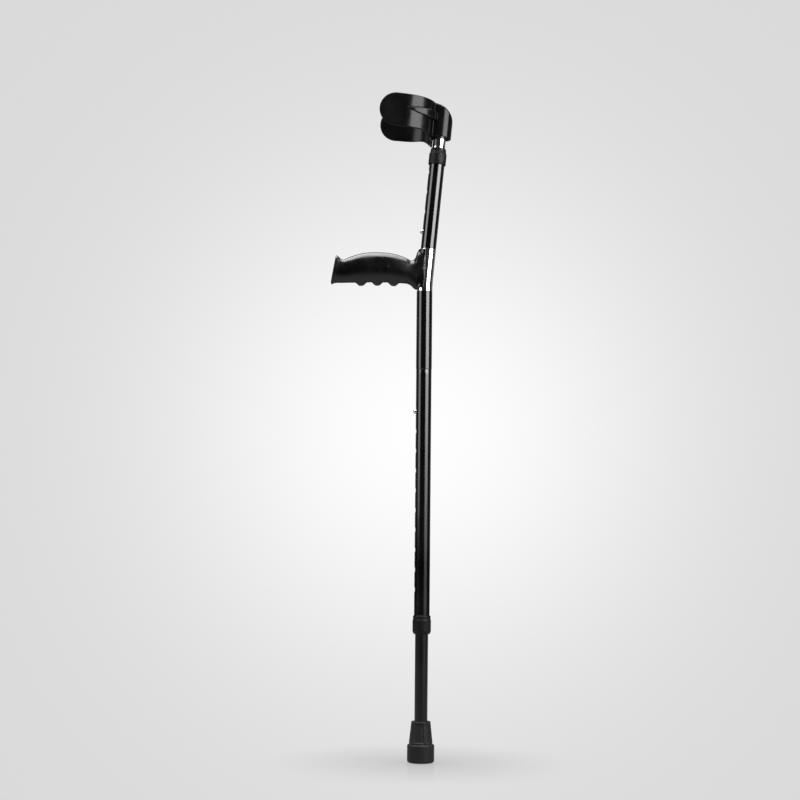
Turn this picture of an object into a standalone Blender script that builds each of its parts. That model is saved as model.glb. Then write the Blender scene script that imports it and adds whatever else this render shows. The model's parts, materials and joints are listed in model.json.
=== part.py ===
"""A single adjustable forearm crutch, modelled piece by piece.

Frame: the origin is the centre of the rubber tip's bottom face, and +Z runs up
the lower tube. The hand grip and the open side of the arm cuff point to -X.
A bent bracket behind the grip leans the upper tube back, towards +X.
The leg stands at its shortest setting and the cuff at its lowest one.
"""

from math import cos, pi, radians, sin, tan

import bmesh
import bpy
from mathutils import Matrix, Vector

MM = 0.001
GAP = 0.3 * MM
ROUND = 32
SMALL_ROUND = 16

# The lower axis is the Z axis. The upper axis leaves it at the bend.
BEND_Z = 673.0 * MM
BEND_ANGLE = radians(5.3)

# Outer and inner tubes
OUTER_R = 10.95 * MM
OUTER_TOP_R = 11.25 * MM
OUTER_BORE_R = 10.0 * MM
INNER_R = 9.1 * MM
INNER_BORE_R = 8.0 * MM
OUTER_SEAM_Z = 552.0 * MM
OUTER_BOTTOM_Z = 190.0 * MM
BRACKET_BOTTOM_Z = 664.7 * MM
BRACKET_TOP_S = 52.9 * MM
UPPER_TUBE_TOP_S = 190.0 * MM

# Adjustment holes and the snap buttons that sit in them
HOLE_R = 3.8 * MM
BUTTON_R = 3.4 * MM
BUTTON_TIP_X = -14.6 * MM
BUTTON_FOOT_X = -5.2 * MM
LEG_HOLES = 10
LEG_PITCH = 28.0 * MM
LEG_BUTTON_Z = 492.0 * MM
CUFF_HOLES = 4
CUFF_PITCH = 29.0 * MM
CUFF_BUTTON_S = 78.0 * MM

# Ends of the sliding tubes
LEG_TUBE_Z = (14.1 * MM, 514.0 * MM)
CUFF_TUBE_S = (70.0 * MM, 250.0 * MM)

# Hand grip and the saddle that clasps the bracket
GRIP_AXIS_Z = 695.0 * MM
GRIP_UNDERSIDE_Z = 677.1 * MM
GRIP_BUMP_X = (-91.1 * MM, -67.9 * MM, -44.7 * MM)
GRIP_BUMP_DEPTH = 6.3 * MM
GRIP_BUMP_WIDTH = 16.5 * MM
GRIP_SHOULDER_X = -118.5 * MM
GRIP_RECESS_R = 8.6 * MM
CORE_R = 6.0 * MM
SADDLE_R = 13.6 * MM
SADDLE_S = (-4.6 * MM, 51.9 * MM)
SADDLE_EDGE_X = -0.4 * MM
SADDLE_EDGE_ANGLE = radians(2.5)
BRACKET_R = 11.1 * MM
BRACKET_REACH = 80 * MM
RIVET_X = -1.4 * MM
RIVET_Z = 696.0 * MM

# Arm cuff, measured in the upper tube's frame
CUFF_INNER_R = 43.2 * MM
CUFF_WALL = 2.8 * MM
CUFF_CENTRE_X = -55.6 * MM
CUFF_TIP_X = -89.2 * MM
CUFF_FLARE = radians(4.0)
CUFF_S = (217.0 * MM, 265.0 * MM)
SOCKET_R = 16.4 * MM
SOCKET_BOTTOM_S = 215.5 * MM
TONGUE_TIP_S = 201.0 * MM
CUFF_RIVET_S = (228.0 * MM, 242.5 * MM)
CUFF_RIVET_BORE_R = 2.0 * MM

UPPER = Matrix.Translation((0, 0, BEND_Z)) @ Matrix.Rotation(BEND_ANGLE, 4, "Y")
ALONG_X = Matrix.Rotation(pi / 2, 4, "Y")
HERE = Matrix.Identity(4)


# --- scene and materials ---------------------------------------------------


def clear_scene():
    for obj in list(bpy.data.objects):
        bpy.data.objects.remove(obj)


def make_collection(name, hidden=False):
    collection = bpy.data.collections.new(name)
    collection.hide_render = hidden
    bpy.context.scene.collection.children.link(collection)
    return collection


def make_material(name, color, roughness, metallic=0.0):
    material = bpy.data.materials.new(name)
    material.use_nodes = True
    shader = material.node_tree.nodes["Principled BSDF"]
    shader.inputs["Base Color"].default_value = (*color, 1.0)
    shader.inputs["Roughness"].default_value = roughness
    shader.inputs["Metallic"].default_value = metallic
    return material


clear_scene()
PARTS = make_collection("forearm_crutch")
CUTTERS = make_collection("cutters", hidden=True)

BLACK_TUBE = ("black_anodised_tube", (0.02, 0.02, 0.022), 0.3, 0.6)
BRIGHT_TUBE = ("polished_alloy", (0.8, 0.8, 0.82), 0.12, 1.0)
SHELL_PLASTIC = ("cuff_plastic", (0.015, 0.015, 0.016), 0.25)
GRIP_PLASTIC = ("grip_plastic", (0.02, 0.02, 0.024), 0.35)
NUT_PLASTIC = ("lock_nut_plastic", (0.02, 0.02, 0.02), 0.5)
BUSH_PLASTIC = ("bush_nylon", (0.06, 0.06, 0.06), 0.5)
TIP_RUBBER = ("tip_rubber", (0.035, 0.035, 0.037), 0.8)
STEEL = ("zinc_plated_steel", (0.6, 0.6, 0.58), 0.3, 1.0)
SPRING_STEEL = ("spring_steel", (0.35, 0.35, 0.36), 0.3, 1.0)


# --- shape helpers -----------------------------------------------------------


def place(name, mesh, finish=None, frame=HERE):
    """Adds a mesh as a part when it has a finish, and as a hidden cutter when it has none."""
    obj = bpy.data.objects.new(name, mesh)
    obj.matrix_world = frame
    if finish:
        PARTS.objects.link(obj)
        slot, color, roughness, *metallic = finish
        mesh.materials.append(make_material(f"{name}.{slot}", color, roughness, *metallic))
    else:
        CUTTERS.objects.link(obj)
        obj.hide_render = True
        obj.display_type = "WIRE"
    return obj


def in_mm(points):
    """Points given in millimetres, in the scene's metres."""
    return [(a * MM, b * MM) for a, b in points]


def mesh_from(bm, name):
    bmesh.ops.recalc_face_normals(bm, faces=bm.faces)
    mesh = bpy.data.meshes.new(name)
    bm.to_mesh(mesh)
    bm.free()
    mesh.shade_smooth()
    mesh.set_sharp_from_angle(angle=radians(35))
    return mesh


def turned(name, profile, finish=None, frame=HERE, steps=ROUND):
    """A closed (radius, height) profile turned about Z. Its outer side runs top to bottom."""
    mesh = bpy.data.meshes.new(name)
    points = [(radius, 0.0, height) for radius, height in profile]
    on_axis = profile[0][0] == 0.0 and profile[-1][0] == 0.0
    edges = [(i, i + 1) for i in range(len(points) - 1)]
    if not on_axis:
        edges.append((len(points) - 1, 0))
    mesh.from_pydata(points, edges, [])
    obj = place(name, mesh, finish, frame)
    screw = obj.modifiers.new("turn", "SCREW")
    screw.axis = "Z"
    screw.steps = steps
    screw.render_steps = steps
    screw.use_merge_vertices = True
    screw.merge_threshold = 0.01 * MM
    screw.use_smooth_shade = True
    return obj


def tube(name, outer, inner, bottom, top, finish=None, frame=HERE, steps=ROUND):
    profile = [(outer, top), (outer, bottom), (inner, bottom), (inner, top)]
    return turned(name, profile, finish, frame, steps)


def rod(name, radius, bottom, top, finish=None, frame=HERE, steps=SMALL_ROUND):
    profile = [(0.0, top), (radius, top), (radius, bottom), (0.0, bottom)]
    return turned(name, profile, finish, frame, steps)


def loft(name, rings, finish=None, frame=HERE, ring_closed=False):
    """Skins rings of equal length. The ends are capped, or joined to each other for a hollow piece."""
    bm = bmesh.new()
    loops = [[bm.verts.new(point) for point in ring] for ring in rings]
    pairs = list(zip(loops, loops[1:]))
    if ring_closed:
        pairs.append((loops[-1], loops[0]))
    for low, high in pairs:
        for i, (a, b) in enumerate(zip(low, high)):
            j = (i + 1) % len(low)
            bm.faces.new((a, low[j], high[j], b))
    if not ring_closed:
        bm.faces.new(loops[0])
        bm.faces.new(loops[-1])
    return place(name, mesh_from(bm, name), finish, frame)


def prism(name, outline, depth, frame=HERE):
    """A cutter: a flat (x, z) outline made into a prism that runs from -depth to +depth along Y."""
    sides = [[(x, y, z) for x, z in outline] for y in (-depth, depth)]
    return loft(name, sides, None, frame)


def box(name, size, centre, frame=HERE):
    bm = bmesh.new()
    bmesh.ops.create_cube(bm, size=1.0)
    bmesh.ops.scale(bm, vec=size, verts=bm.verts)
    bmesh.ops.translate(bm, vec=centre, verts=bm.verts)
    return place(name, mesh_from(bm, name), None, frame)


def cylinders(name, radius, length, frames, finish=None, segments=SMALL_ROUND, base=HERE):
    """One object of several like cylinders, each along the Z axis of its own frame."""
    bm = bmesh.new()
    for frame in frames:
        bmesh.ops.create_cone(
            bm,
            cap_ends=True,
            segments=segments,
            radius1=radius,
            radius2=radius,
            depth=length,
            matrix=frame,
        )
    return place(name, mesh_from(bm, name), finish, base)


def combine(obj, other, operation="DIFFERENCE"):
    """Joins, cuts or crops obj with other."""
    step = obj.modifiers.new(f"{operation.lower()}_{other.name}", "BOOLEAN")
    step.operation = operation
    step.solver = "EXACT"
    step.object = other
    return obj


def arc(centre, radius, start, end, count):
    """Points of a circular arc in a plane, at both ends and evenly between them, angles in radians."""
    angles = [start + (end - start) * i / (count - 1) for i in range(count)]
    return [(centre[0] + radius * cos(a), centre[1] + radius * sin(a)) for a in angles]


def smooth_between(knots, x):
    """The value at x of a smooth curve through (x, value) knots, flat outside them."""
    if x <= knots[0][0]:
        return knots[0][1]
    for i, ((x0, v0), (x1, v1)) in enumerate(zip(knots, knots[1:])):
        if x <= x1:
            before = knots[max(i - 1, 0)]
            after = knots[min(i + 2, len(knots) - 1)]
            slope0 = (v1 - before[1]) / (x1 - before[0])
            slope1 = (after[1] - v0) / (after[0] - x0)
            t = (x - x0) / (x1 - x0)
            span = x1 - x0
            rise = t * t * (3 - 2 * t)
            ease_in = t * (1 - t) ** 2 * span * slope0
            ease_out = t * t * (t - 1) * span * slope1
            return v0 + (v1 - v0) * rise + ease_in + ease_out
    return knots[-1][1]


# --- outer tubes and bracket --------------------------------------------------


def side_holes(name, heights, frame=HERE):
    """Cutters for holes in a tube's front wall, on its -X side."""
    length = 8 * MM
    middle = -OUTER_R
    frames = [Matrix.Translation((middle, 0, z)) @ ALONG_X for z in heights]
    return cylinders(name, HOLE_R, length, frames, base=frame)


def build_outer_tubes():
    leg_holes = [LEG_BUTTON_Z - i * LEG_PITCH for i in range(LEG_HOLES)]
    cuff_holes = [CUFF_BUTTON_S + i * CUFF_PITCH for i in range(CUFF_HOLES)]
    groove = 0.5 * MM
    top = BRACKET_BOTTOM_Z - GAP
    lower_profile = [
        (OUTER_TOP_R, top),
        (OUTER_TOP_R, OUTER_SEAM_Z + groove),
        (OUTER_R, OUTER_SEAM_Z),
        (OUTER_R, OUTER_BOTTOM_Z),
        (OUTER_BORE_R, OUTER_BOTTOM_Z),
        (OUTER_BORE_R, top),
    ]
    lower = turned("lower_outer_tube", lower_profile, BLACK_TUBE)
    combine(lower, side_holes("leg_hole_cutters", leg_holes))
    bottom = BRACKET_TOP_S + GAP
    upper = tube("upper_outer_tube", OUTER_R, OUTER_BORE_R, bottom, UPPER_TUBE_TOP_S, BLACK_TUBE, UPPER)
    combine(upper, side_holes("cuff_hole_cutters", cuff_holes, UPPER))


def bracket_rings(stations):
    """Rings of a tube that follows the bend, from (distance from the bend, radius) stations."""
    rings = []
    for distance, radius in stations:
        if distance == 0:
            frame = Matrix.Translation((0, 0, BEND_Z)) @ Matrix.Rotation(BEND_ANGLE / 2, 4, "Y")
        elif distance < 0:
            frame = Matrix.Translation((0, 0, BEND_Z + distance))
        else:
            frame = UPPER @ Matrix.Translation((0, 0, distance))
        angles = [2 * pi * i / ROUND for i in range(ROUND)]
        rings.append([frame @ Vector((radius * cos(a), radius * sin(a), 0)) for a in angles])
    return rings


def bent_cutter(name, radius):
    """A solid bar that follows the bend for a long way on both sides."""
    stations = [(-BRACKET_REACH, radius), (0, radius), (BRACKET_REACH, radius)]
    return loft(name, bracket_rings(stations))


def build_bracket():
    spigot_r = 9.7 * MM
    bore_r = 7.6 * MM
    foot = BRACKET_BOTTOM_Z - BEND_Z
    low_end = foot - 25 * MM
    high_end = BRACKET_TOP_S + 12.5 * MM
    outside = [
        (low_end, spigot_r),
        (foot, spigot_r),
        (foot, BRACKET_R),
        (0, BRACKET_R),
        (BRACKET_TOP_S, BRACKET_R),
        (BRACKET_TOP_S, spigot_r),
        (high_end, spigot_r),
    ]
    inside = [(high_end, bore_r), (0, bore_r), (low_end, bore_r)]
    loft("handle_bracket", bracket_rings(outside + inside), BRIGHT_TUBE, ring_closed=True)


# --- grip ------------------------------------------------------------------------


def grip_underside(x):
    """Height of the grip's lowest line. Three ridges reach down between the fingers."""
    height = GRIP_UNDERSIDE_Z
    for middle in GRIP_BUMP_X:
        away = abs(x - middle) / (GRIP_BUMP_WIDTH / 2)
        if away < 1:
            height -= GRIP_BUMP_DEPTH * 0.5 * (1 + cos(pi * away))
    return height


def grip_stations():
    """(top point, bottom point, half width) of each cross section, from the free end to the saddle."""
    end_flange = [
        ((-127.2, 714.6), (-134.4, 674.8), 15.0),
        ((-126.6, 715.2), (-134.0, 674.2), 15.6),
        ((-124.6, 713.8), (-131.5, 676.2), 15.3),
        ((-121.2, 709.4), (-126.0, 677.1), 14.2),
        ((-117.7, 707.2), (-119.5, 677.1), 13.6),
    ]
    crown = [
        (-117.7, 707.2), (-109.0, 711.6), (-92.0, 718.2), (-67.3, 720.3), (-43.0, 717.8), (-18.4, 708.7),
    ]
    width = [(-117.7, 13.6), (-100.0, 15.0), (-67.3, 16.2), (-35.0, 14.8), (-18.4, 13.0)]
    first, last, count = -112.0, -30.0, 29
    body = []
    for i in range(count):
        x = first + (last - first) * i / (count - 1)
        top = (x, smooth_between(crown, x))
        bottom = (x, grip_underside(x * MM) / MM)
        body.append((top, bottom, smooth_between(width, x)))
    neck = [
        ((-23.5, 710.7), (-25.0, 676.8), 13.4),
        ((-18.4, 708.7), (-21.0, 674.9), 13.0),
        ((-15.2, 710.9), (-17.8, 672.2), 12.9),
        ((-12.8, 715.0), (-15.4, 669.6), 12.9),
        ((-11.2, 721.0), (-13.8, 668.4), 12.8),
        ((-7.0, 724.3), (-10.0, 668.2), 12.4),
    ]
    return end_flange + body + neck


def grip_ring(top, bottom, half_width, count=20):
    """An oval ring in the plane through a top and a bottom point, square-shouldered by its power."""
    power = 2.4
    high = Vector((top[0], 0, top[1])) * MM
    low = Vector((bottom[0], 0, bottom[1])) * MM
    middle = (high + low) / 2
    half = (high - low) / 2
    side = Vector((0, half_width * MM, 0))
    ring = []
    for i in range(count):
        angle = 2 * pi * (i + 0.5) / count
        c, s = cos(angle), sin(angle)
        up = abs(s) ** (2 / power) * (1 if s > 0 else -1)
        out = abs(c) ** (2 / power) * (1 if c > 0 else -1)
        ring.append(middle + half * up + side * out)
    return ring


def build_grip():
    rings = [grip_ring(*station) for station in grip_stations()]
    grip = loft("hand_grip", rings, GRIP_PLASTIC)
    low, high = SADDLE_S
    combine(grip, rod("saddle_shell", SADDLE_R, low, high, frame=UPPER, steps=ROUND), "UNION")
    edge_turn = Matrix.Rotation(SADDLE_EDGE_ANGLE, 4, "Y")
    edge_frame = Matrix.Translation((SADDLE_EDGE_X, 0, RIVET_Z)) @ edge_turn
    width, height = 40 * MM, 80 * MM
    combine(grip, box("behind_saddle", (width, width, height), (width / 2, 0, 0), edge_frame))
    upright = Matrix.Translation((RIVET_X, 0, RIVET_Z)) @ Matrix.Rotation(pi / 2, 4, "X")
    ear_r, ear_length = 3.4 * MM, 2 * SADDLE_R - 0.6 * MM
    combine(grip, cylinders("rivet_ears", ear_r, ear_length, [upright]), "UNION")
    rivet_bore_r = 1.5 * MM
    combine(grip, cylinders("rivet_bores", rivet_bore_r, 2 * ear_length, [upright], segments=12))
    clearance = 0.25 * MM
    combine(grip, bent_cutter("bracket_seat", OUTER_TOP_R + clearance))
    axis = Matrix.Translation((0, 0, GRIP_AXIS_Z)) @ ALONG_X
    overlap = 1 * MM
    combine(grip, rod("core_bore", CORE_R + GAP, GRIP_SHOULDER_X - overlap, 0.0, frame=axis))
    combine(grip, rod("end_recess", GRIP_RECESS_R, -140 * MM, GRIP_SHOULDER_X, frame=axis))


def build_grip_fixings():
    axis = Matrix.Translation((0, 0, GRIP_AXIS_Z)) @ ALONG_X
    core = rod("handle_core", CORE_R, GRIP_SHOULDER_X + GAP, -8 * MM, STEEL, axis, SMALL_ROUND)
    combine(core, bent_cutter("core_coping", BRACKET_R + GAP))
    combine(core, rod("core_thread", 3.0 * MM, -125 * MM, -98 * MM, frame=axis))
    washer_face_x = GRIP_SHOULDER_X - 1.4 * MM
    tube("grip_washer", 7.9 * MM, 3.2 * MM, washer_face_x, GRIP_SHOULDER_X, STEEL, axis, SMALL_ROUND)
    screw = [
        (0.0, -102.0), (2.7, -102.0), (2.7, -120.2), (5.4, -120.2), (5.4, -122.4), (4.0, -123.4),
        (1.7, -123.4), (1.7, -121.2), (0.0, -121.2),
    ]
    turned("grip_screw", in_mm(screw), STEEL, axis, SMALL_ROUND)
    cap = [
        (0.0, -127.2), (6.6, -127.2), (6.6, -124.4), (8.3, -124.4), (8.3, -128.0), (7.4, -128.8),
        (0.0, -128.8),
    ]
    turned("grip_end_cap", in_mm(cap), GRIP_PLASTIC, axis, SMALL_ROUND)


def build_saddle_rivets():
    """One rivet in each side of the saddle, through the bracket's wall."""
    rivet = [
        (0.0, 14.5), (1.2, 14.4), (2.1, 14.0), (2.3, 13.5), (1.25, 13.5), (1.25, 11.6), (0.0, 11.6),
    ]
    for name, turn in (("saddle_rivet_near", pi / 2), ("saddle_rivet_far", -pi / 2)):
        frame = Matrix.Translation((RIVET_X, 0, RIVET_Z)) @ Matrix.Rotation(turn, 4, "X")
        turned(name, in_mm(rivet), STEEL, frame, SMALL_ROUND)


# --- locks, plugs, springs and buttons -------------------------------------------------


def collet_slots(name, low, high, frame=HERE):
    """Two crossed slabs that split a collet's nose into four fingers."""
    width = 1.2 * MM
    reach = 40 * MM
    centre = (0, 0, (low + high) / 2)
    slabs = []
    for axis, size in (("x", (reach, width, high - low)), ("y", (width, reach, high - low))):
        slabs.append(box(f"{name}_{axis}", size, centre, frame))
    return slabs


def build_leg_lock():
    """A split bush round the leg tube, and the nut that closes it."""
    bush = [
        (11.95, 199.0), (11.95, 183.0), (11.0, 180.6), (9.35, 180.6), (9.35, 189.6), (11.25, 189.6),
        (11.25, 199.0),
    ]
    collet = turned("leg_lock_bush", in_mm(bush), BUSH_PLASTIC)
    for slab in collet_slots("leg_slot", 170 * MM, 187 * MM):
        combine(collet, slab)
    nut = [
        (11.6, 204.0), (12.3, 203.3), (12.3, 198.9), (13.0, 198.2), (13.0, 181.6), (11.6, 178.2),
        (11.0, 178.0), (9.5, 178.0), (9.5, 180.2), (11.3, 180.2), (12.25, 182.6), (12.25, 199.4),
        (11.4, 199.4), (11.4, 204.0),
    ]
    turned("leg_lock_nut", in_mm(nut), NUT_PLASTIC)


def build_cuff_lock():
    """A split bush round the cuff tube, and the nut that closes it."""
    bush = [
        (10.15, 198.0), (10.15, 191.4), (11.7, 191.4), (11.7, 181.5), (11.25, 181.5), (11.25, 190.4),
        (9.35, 190.4), (9.35, 198.0),
    ]
    collet = turned("cuff_lock_bush", in_mm(bush), BUSH_PLASTIC, UPPER)
    for slab in collet_slots("cuff_slot", 193 * MM, 210 * MM, UPPER):
        combine(collet, slab)
    nut = [
        (10.4, 200.5), (10.9, 199.9), (11.3, 196.0), (12.6, 191.8), (12.6, 178.2), (12.2, 176.4),
        (11.4, 176.2), (11.4, 181.1), (12.0, 181.1), (12.0, 191.7), (10.45, 191.7), (10.45, 198.4),
        (9.5, 198.4), (9.5, 200.5),
    ]
    turned("cuff_lock_nut", in_mm(nut), NUT_PLASTIC, UPPER)


def guide_plug(name, tube_end, outward, frame=HERE):
    """A plug in a sliding tube's end, whose flange runs in the outer tube.

    outward is +1 when the plug is at the tube's top, and -1 at its bottom.
    """
    stem_r, flange_r = INNER_BORE_R - GAP, 9.8 * MM
    stem_length, flange_length = 2.4 * MM, 3.6 * MM
    face = tube_end + outward * GAP
    profile = [
        (0.0, face + outward * flange_length),
        (flange_r - 0.6 * MM, face + outward * flange_length),
        (flange_r, face + outward * (flange_length - 0.6 * MM)),
        (flange_r, face),
        (stem_r, face),
        (stem_r, tube_end - outward * stem_length),
        (0.0, tube_end - outward * stem_length),
    ]
    if outward < 0:
        profile.reverse()
    return turned(name, profile, BUSH_PLASTIC, frame, SMALL_ROUND)


def snap_button(name, height, frame=HERE):
    """A round-nosed button through both tube walls, with a foot inside the sliding tube."""
    foot_r, foot_thickness = 4.9 * MM, 0.9 * MM
    foot, tip = -BUTTON_FOOT_X, -BUTTON_TIP_X
    nose = arc((0.0, tip - BUTTON_R), BUTTON_R, 0.0, pi / 2, 6)[:-1]
    profile = [(0.0, tip), *reversed(nose), (BUTTON_R, foot + foot_thickness)]
    profile += [(foot_r, foot + foot_thickness), (foot_r, foot), (0.0, foot)]
    facing_front = Matrix.Translation((0, 0, height)) @ Matrix.Rotation(-pi / 2, 4, "Y")
    return turned(name, profile, STEEL, frame @ facing_front, SMALL_ROUND)


def leaf_spring(name, height, length, frame=HERE):
    """A V of spring strip, from the button to a round fold and back along the tube's back wall."""
    thickness, half_width = 0.6 * MM, 2.5 * MM
    front_x, back_x = -4.6 * MM, 6.9 * MM
    direction = 1 if length > 0 else -1
    fold_r = 2.2 * MM
    fold_z = height + length - direction * fold_r
    front = [(front_x, height - direction * 4 * MM), (front_x, height + direction * 4 * MM)]
    fold = arc((3.4 * MM, fold_z), fold_r, pi, 0.0 if direction > 0 else 2 * pi, 7)
    back = [(back_x, height + direction * 12 * MM), (back_x, height + direction * 4 * MM)]
    path = front + fold + back
    bm = bmesh.new()
    columns = [[bm.verts.new((x, y, z)) for y in (-half_width, half_width)] for x, z in path]
    for (a, b), (c, d) in zip(columns, columns[1:]):
        bm.faces.new((a, b, d, c))
    spring = place(name, mesh_from(bm, name), SPRING_STEEL, frame)
    shell = spring.modifiers.new("strip", "SOLIDIFY")
    shell.thickness = thickness
    shell.offset = 0.0
    return spring


def sliding_tube(name, span, button_height, finish, frame=HERE):
    low, high = span
    slider = tube(name, INNER_R, INNER_BORE_R, low, high, finish, frame)
    return combine(slider, side_holes(f"{name}_button_hole", [button_height], frame))


def build_leg():
    sliding_tube("leg_tube", LEG_TUBE_Z, LEG_BUTTON_Z, BLACK_TUBE)
    guide_plug("leg_guide_plug", LEG_TUBE_Z[1], 1)
    snap_button("leg_button", LEG_BUTTON_Z)
    leaf_spring("leg_button_spring", LEG_BUTTON_Z, -42 * MM)
    tip = [
        (0.0, 12.0), (9.4, 12.0), (9.4, 57.0), (12.9, 57.0), (13.5, 56.3), (15.1, 37.0), (16.2, 26.4),
        (17.2, 25.6), (17.3, 22.0), (18.5, 20.8), (18.9, 18.6), (18.9, 4.0), (18.2, 1.4), (16.6, 0.0),
        (13.4, 0.0), (13.0, 1.4), (9.4, 1.4), (9.0, 0.0), (0.0, 0.0),
    ]
    turned("rubber_tip", in_mm(tip), TIP_RUBBER)
    rod("tip_washer", 9.1 * MM, 12.3 * MM, 13.8 * MM, STEEL)


# --- cuff ---------------------------------------------------------------------------


def cuff_path():
    """The cuff wall's middle line seen along the tube: half a circle, and two arms that flare."""
    radius = CUFF_INNER_R + CUFF_WALL / 2
    turn = pi / 2 - CUFF_FLARE
    curve = arc((CUFF_CENTRE_X, 0.0), radius, -turn, turn, 21)
    end_x = CUFF_TIP_X - 4 * MM
    arms = []
    for x, y in (curve[0], curve[-1]):
        side = 1 if y > 0 else -1
        arms.append((end_x, y + side * (x - end_x) * tan(CUFF_FLARE)))
    return [arms[0], *curve, arms[1]]


def cuff_wall():
    low, high = CUFF_S[0] - 5 * MM, CUFF_S[1] + 5 * MM
    bm = bmesh.new()
    columns = [[bm.verts.new((x, y, s)) for s in (low, high)] for x, y in cuff_path()]
    for (a, b), (c, d) in zip(columns, columns[1:]):
        bm.faces.new((a, c, d, b))
    wall = place("cuff_shell", mesh_from(bm, "cuff_shell"), SHELL_PLASTIC, UPPER)
    solid = wall.modifiers.new("wall", "SOLIDIFY")
    solid.thickness = CUFF_WALL
    solid.offset = 0.0
    solid.use_even_offset = True
    return wall


def cuff_side_outline():
    """The cuff seen from the side: a band with a full round end at its open side."""
    low, high = CUFF_S
    radius = (high - low) / 2
    round_end = arc((CUFF_TIP_X + radius, (low + high) / 2), radius, pi / 2, 3 * pi / 2, 17)
    back = 30 * MM
    return [(back, high), *round_end, (back, low)]


def socket():
    """The round socket for the cuff tube. Its top is highest at the wall and slopes down to the back."""
    top = CUFF_S[1] + 4 * MM
    body = rod("socket", SOCKET_R, SOCKET_BOTTOM_S, top, frame=UPPER, steps=ROUND)
    side = [
        (-40.0, 266.8), (-12.9, 266.6), (-7.4, 265.8), (-1.4, 264.0), (5.9, 259.8), (11.3, 253.4),
        (14.8, 247.1), (16.8, 237.7), (16.8, 210.0), (-40.0, 210.0),
    ]
    return combine(body, prism("socket_slope", in_mm(side), 30 * MM, UPPER), "INTERSECT")


def build_cuff():
    shell = cuff_wall()
    combine(shell, prism("cuff_side", cuff_side_outline(), 70 * MM, UPPER), "INTERSECT")
    combine(shell, socket(), "UNION")
    hollow_top = CUFF_S[1] + 10 * MM
    hollow = rod("arm_space", CUFF_INNER_R, CUFF_S[0] - 0.1 * MM, hollow_top, steps=96)
    hollow.matrix_world = UPPER @ Matrix.Translation((CUFF_CENTRE_X, 0, 0))
    combine(shell, hollow)
    combine(shell, tongue(), "UNION")
    bore_bottom = TONGUE_TIP_S - 20 * MM
    bore_top = CUFF_TUBE_S[1] + GAP
    combine(shell, rod("cuff_bore", INNER_R + GAP, bore_bottom, bore_top, frame=UPPER, steps=ROUND))
    combine(shell, cuff_rivet_bores("cuff_rivet_bores", 12 * MM))


def cuff_rivet_bores(name, length):
    """Cutters for the two rivet holes in the tube's front."""
    frames = [Matrix.Translation((-INNER_R, 0, s)) @ ALONG_X for s in CUFF_RIVET_S]
    return cylinders(name, CUFF_RIVET_BORE_R, length, frames, segments=12, base=UPPER)


def tongue():
    """A tapering strip that runs down the tube's front from the cuff to the lock nut."""
    tip = TONGUE_TIP_S / MM
    profile = [(16.2, 224.0), (15.2, 216.0), (12.2, 208.0), (10.6, tip), (5.0, tip), (5.0, 224.0)]
    strip = turned("tongue", in_mm(profile), frame=UPPER)
    outline = [(-3.4, tip - 1), (3.4, tip - 1), (9.6, 225.0), (-9.6, 225.0)]
    facing_front = UPPER @ Matrix.Translation((-14 * MM, 0, 0)) @ Matrix.Rotation(pi / 2, 4, "Z")
    combine(strip, prism("tongue_taper", in_mm(outline), 9 * MM, facing_front), "INTERSECT")
    return strip


def build_cuff_tube():
    slider = sliding_tube("cuff_tube", CUFF_TUBE_S, CUFF_BUTTON_S, BRIGHT_TUBE, UPPER)
    combine(slider, cuff_rivet_bores("tube_rivet_bores", 6 * MM))
    guide_plug("cuff_guide_plug", CUFF_TUBE_S[0], -1, UPPER)
    snap_button("cuff_button", CUFF_BUTTON_S, UPPER)
    leaf_spring("cuff_button_spring", CUFF_BUTTON_S, 42 * MM, UPPER)


def build_cuff_rivets():
    """Two rivets from inside the cuff, through its wall and the tube's front wall."""
    rivet = [(0.0, 14.4), (1.8, 14.1), (3.2, 13.4), (3.6, 12.7), (1.7, 12.7), (1.7, 7.0), (0.0, 7.0)]
    for name, height in zip(("cuff_rivet_lower", "cuff_rivet_upper"), CUFF_RIVET_S):
        facing_front = Matrix.Translation((0, 0, height)) @ Matrix.Rotation(-pi / 2, 4, "Y")
        turned(name, in_mm(rivet), STEEL, UPPER @ facing_front, SMALL_ROUND)


build_outer_tubes()
build_bracket()
build_grip()
build_grip_fixings()
build_saddle_rivets()
build_leg_lock()
build_cuff_lock()
build_leg()
build_cuff()
build_cuff_tube()
build_cuff_rivets()
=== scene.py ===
"""Looks of the adjustable forearm crutch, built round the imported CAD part.

Visible pieces are finely meshed in code, in millimetres, and ride the CAD bodies.
Lengths along the lower tube are heights Z, and along the upper tube distances S from the bend.
"""

import json
from math import atan2, cos, pi, radians, sin

import bmesh
import bpy
import numpy as np
from mathutils import Matrix, Vector

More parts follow.
